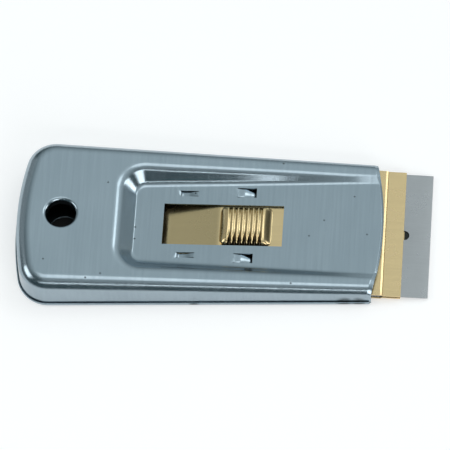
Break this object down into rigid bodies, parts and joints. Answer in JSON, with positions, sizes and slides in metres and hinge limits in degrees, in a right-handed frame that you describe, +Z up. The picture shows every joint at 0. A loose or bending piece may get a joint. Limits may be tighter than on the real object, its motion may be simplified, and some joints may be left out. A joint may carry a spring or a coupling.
{
  "type": "razor scraper",
  "caption": "Pocket razor scraper: wedge-shaped pressed steel casing with a hanging hole and a sunk window, and a brass carriage whose thumb grip slides a single-edge blade in and out.",
  "frame": {"origin": "on the underside of the lower shell, under the middle of the tool's length and width with the blade out as pictured", "axes": "+X from the hanging hole towards the blade, along the slide; +Y across the tool to its left; +Z up through the thumb grip"},
  "size_m": [0.1146, 0.0476, 0.011],
  "materials": {
    "upper_shell_zinc": "bright zinc plate with fine lines across the casing",
    "lower_shell_zinc": "bright zinc plate",
    "upper_leaf_brass": "pale brass with fine lines along the slide",
    "lower_leaf_brass": "pale brass",
    "rivet_brass": "plain brass",
    "blade_steel": "ground blade steel",
    "back_steel": "plain folded steel"
  },
  "bodies": {
    "casing": {"upper_shell": "upper_shell_zinc", "lower_shell": "lower_shell_zinc"},
    "carriage": {"carriage_upper_leaf": "upper_leaf_brass", "carriage_lower_leaf": "lower_leaf_brass", "carriage_rivet_left": "rivet_brass", "carriage_rivet_right": "rivet_brass", "razor_blade": "blade_steel", "blade_back": "back_steel"}
  },
  "joints": [
    {"name": "carriage_slide", "type": "slide", "parent": "casing", "child": "carriage", "axis": [1, 0, 0], "range_m": [-0.0156, 0.0027]}
  ]
}
